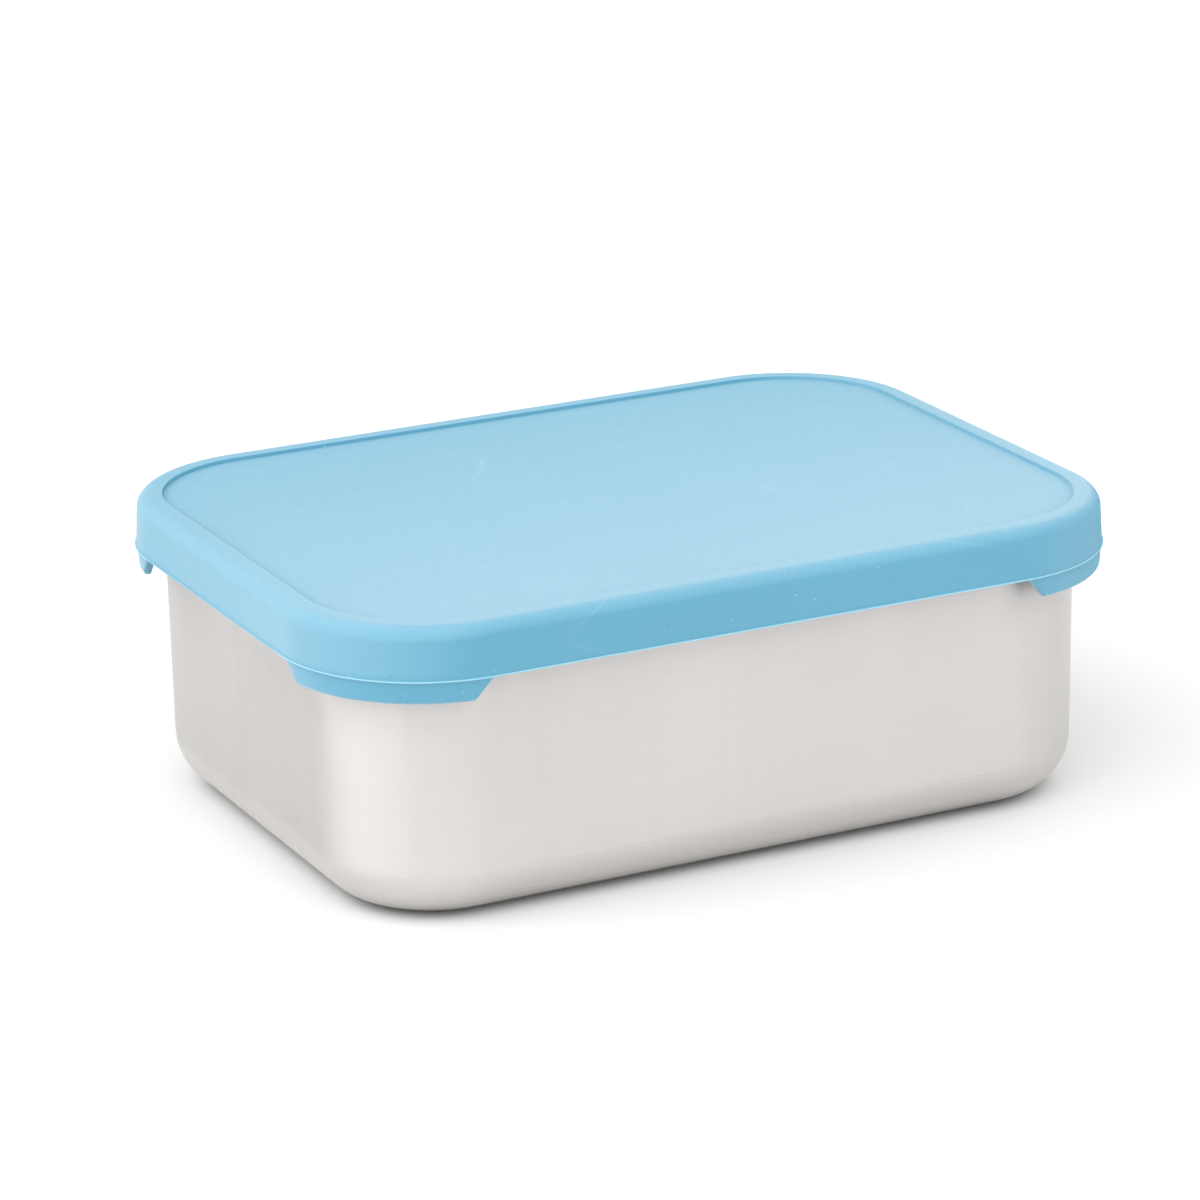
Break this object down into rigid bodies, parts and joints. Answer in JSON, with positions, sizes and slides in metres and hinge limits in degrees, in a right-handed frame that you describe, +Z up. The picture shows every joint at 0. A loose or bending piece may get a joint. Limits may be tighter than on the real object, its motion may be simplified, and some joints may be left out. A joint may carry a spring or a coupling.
{
  "type": "lunch box",
  "caption": "Rectangular deep-drawn stainless steel lunch box with a press-on light blue silicone lid that has a recessed top panel and corner pull tabs.",
  "frame": {"origin": "centre of the underside, on the surface that the box stands on", "axes": "+X along the long side, +Y along the short side, +Z up through the lid"},
  "size_m": [0.205, 0.151, 0.072],
  "materials": {
    "steel": "fine satin brushed stainless steel",
    "silicone": "matte moulded silicone, light blue"
  },
  "bodies": {
    "container": {"steel_container": "steel"},
    "lid": {"silicone_lid": "silicone"}
  },
  "joints": [
    {"name": "lid_lift", "type": "slide", "parent": "container", "child": "lid", "axis": [0, 0, 1], "range_m": [0, 0.08]}
  ]
}
